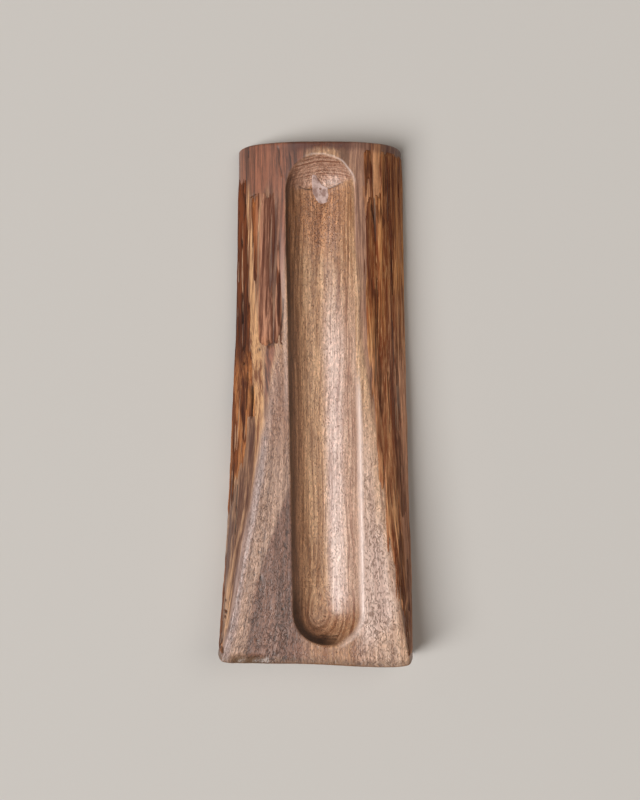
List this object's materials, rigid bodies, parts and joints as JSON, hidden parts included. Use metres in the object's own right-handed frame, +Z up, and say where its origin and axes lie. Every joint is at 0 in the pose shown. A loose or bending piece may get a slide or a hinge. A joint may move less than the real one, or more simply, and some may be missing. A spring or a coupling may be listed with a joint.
{
  "type": "live-edge serving tray",
  "caption": "Live-edge half-log serving tray with a planed top, natural flanks and a long round-bottomed trough for crackers or bread.",
  "frame": {"origin": "centre of the bounding box's bottom face, on the sawn underside", "axes": "+Z up out of the trough, +Y along the grain towards the narrow end, +X to the right as seen from above with the narrow end away"},
  "size_m": [0.1506, 0.4, 0.042],
  "materials": {
    "wood": "sanded and lightly oiled hardwood, satin in the trough",
    "inner_bark": "dry fibrous inner bark, matt",
    "filler": "pale sanded filler, matt"
  },
  "bodies": {
    "root": {"tray_body": "wood", "left_inner_bark": "inner_bark", "right_inner_bark": "inner_bark", "knot_filler": "filler"}
  },
  "joints": []
}
